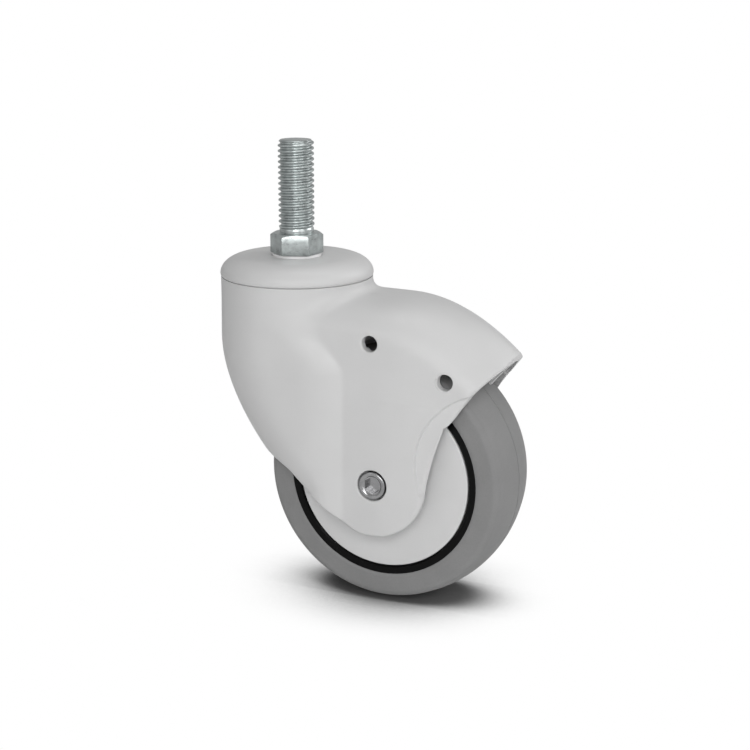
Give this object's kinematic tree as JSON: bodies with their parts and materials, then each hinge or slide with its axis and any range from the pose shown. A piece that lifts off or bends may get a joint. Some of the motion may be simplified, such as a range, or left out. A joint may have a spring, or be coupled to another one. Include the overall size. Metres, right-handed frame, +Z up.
{
  "type": "castor",
  "caption": "Swivel castor with a threaded stem, a moulded grey fork housing with a rear guard, and a ball bearing wheel with a grey rubber tyre.",
  "frame": {"origin": "centre of the hexagon's top face on the stem's axis, where the castor seats against what it is screwed into", "axes": "+Z up along the stem, +X towards the trailing side of the swivel, Y along the axle"},
  "size_m": [0.1031, 0.052, 0.1467],
  "materials": {
    "zinc_steel": "bright zinc plated",
    "grey_plastic": "fine satin moulding, pale grey",
    "cap_plastic": "fine satin moulding, pale grey",
    "seal_plastic": "smooth, off-white",
    "tyre": "non-marking grey rubber, satin",
    "black_plastic": "smooth black moulding",
    "bearing_steel": "ground and polished",
    "cage_brass": "pressed",
    "spring_steel": "blackened",
    "bright_steel": "bright plated"
  },
  "bodies": {
    "stem_body": {"stem": "zinc_steel", "upper_inner_ring": "bearing_steel", "upper_cage": "cage_brass", "upper_balls": "bearing_steel", "lower_inner_ring": "bearing_steel", "lower_cage": "cage_brass", "lower_balls": "bearing_steel", "inner_spacer": "zinc_steel", "retaining_washer": "zinc_steel", "retaining_ring": "spring_steel"},
    "housing_body": {"cap": "cap_plastic", "neck_seal": "seal_plastic", "housing": "grey_plastic", "upper_outer_ring": "bearing_steel", "lower_outer_ring": "bearing_steel", "outer_spacer": "zinc_steel", "near_inner_ring": "bearing_steel", "far_inner_ring": "bearing_steel", "hub_spacer": "zinc_steel", "near_bush": "zinc_steel", "far_bush": "zinc_steel", "axle_tube": "zinc_steel", "axle_screws": "bright_steel"},
    "wheel_body": {"wheel_core": "black_plastic", "tyre": "tyre", "near_cover": "grey_plastic", "far_cover": "grey_plastic", "near_outer_ring": "bearing_steel", "far_outer_ring": "bearing_steel", "near_cage": "cage_brass", "near_balls": "bearing_steel", "far_cage": "cage_brass", "far_balls": "bearing_steel"}
  },
  "joints": [
    {"name": "swivel", "type": "hinge", "parent": "stem_body", "child": "housing_body", "pos_m": [0, 0, 0], "axis": [0, 0, 1], "continuous": true},
    {"name": "wheel_spin", "type": "hinge", "parent": "housing_body", "child": "wheel_body", "pos_m": [0.0366, 0, -0.0752], "axis": [0, 1, 0], "continuous": true}
  ]
}
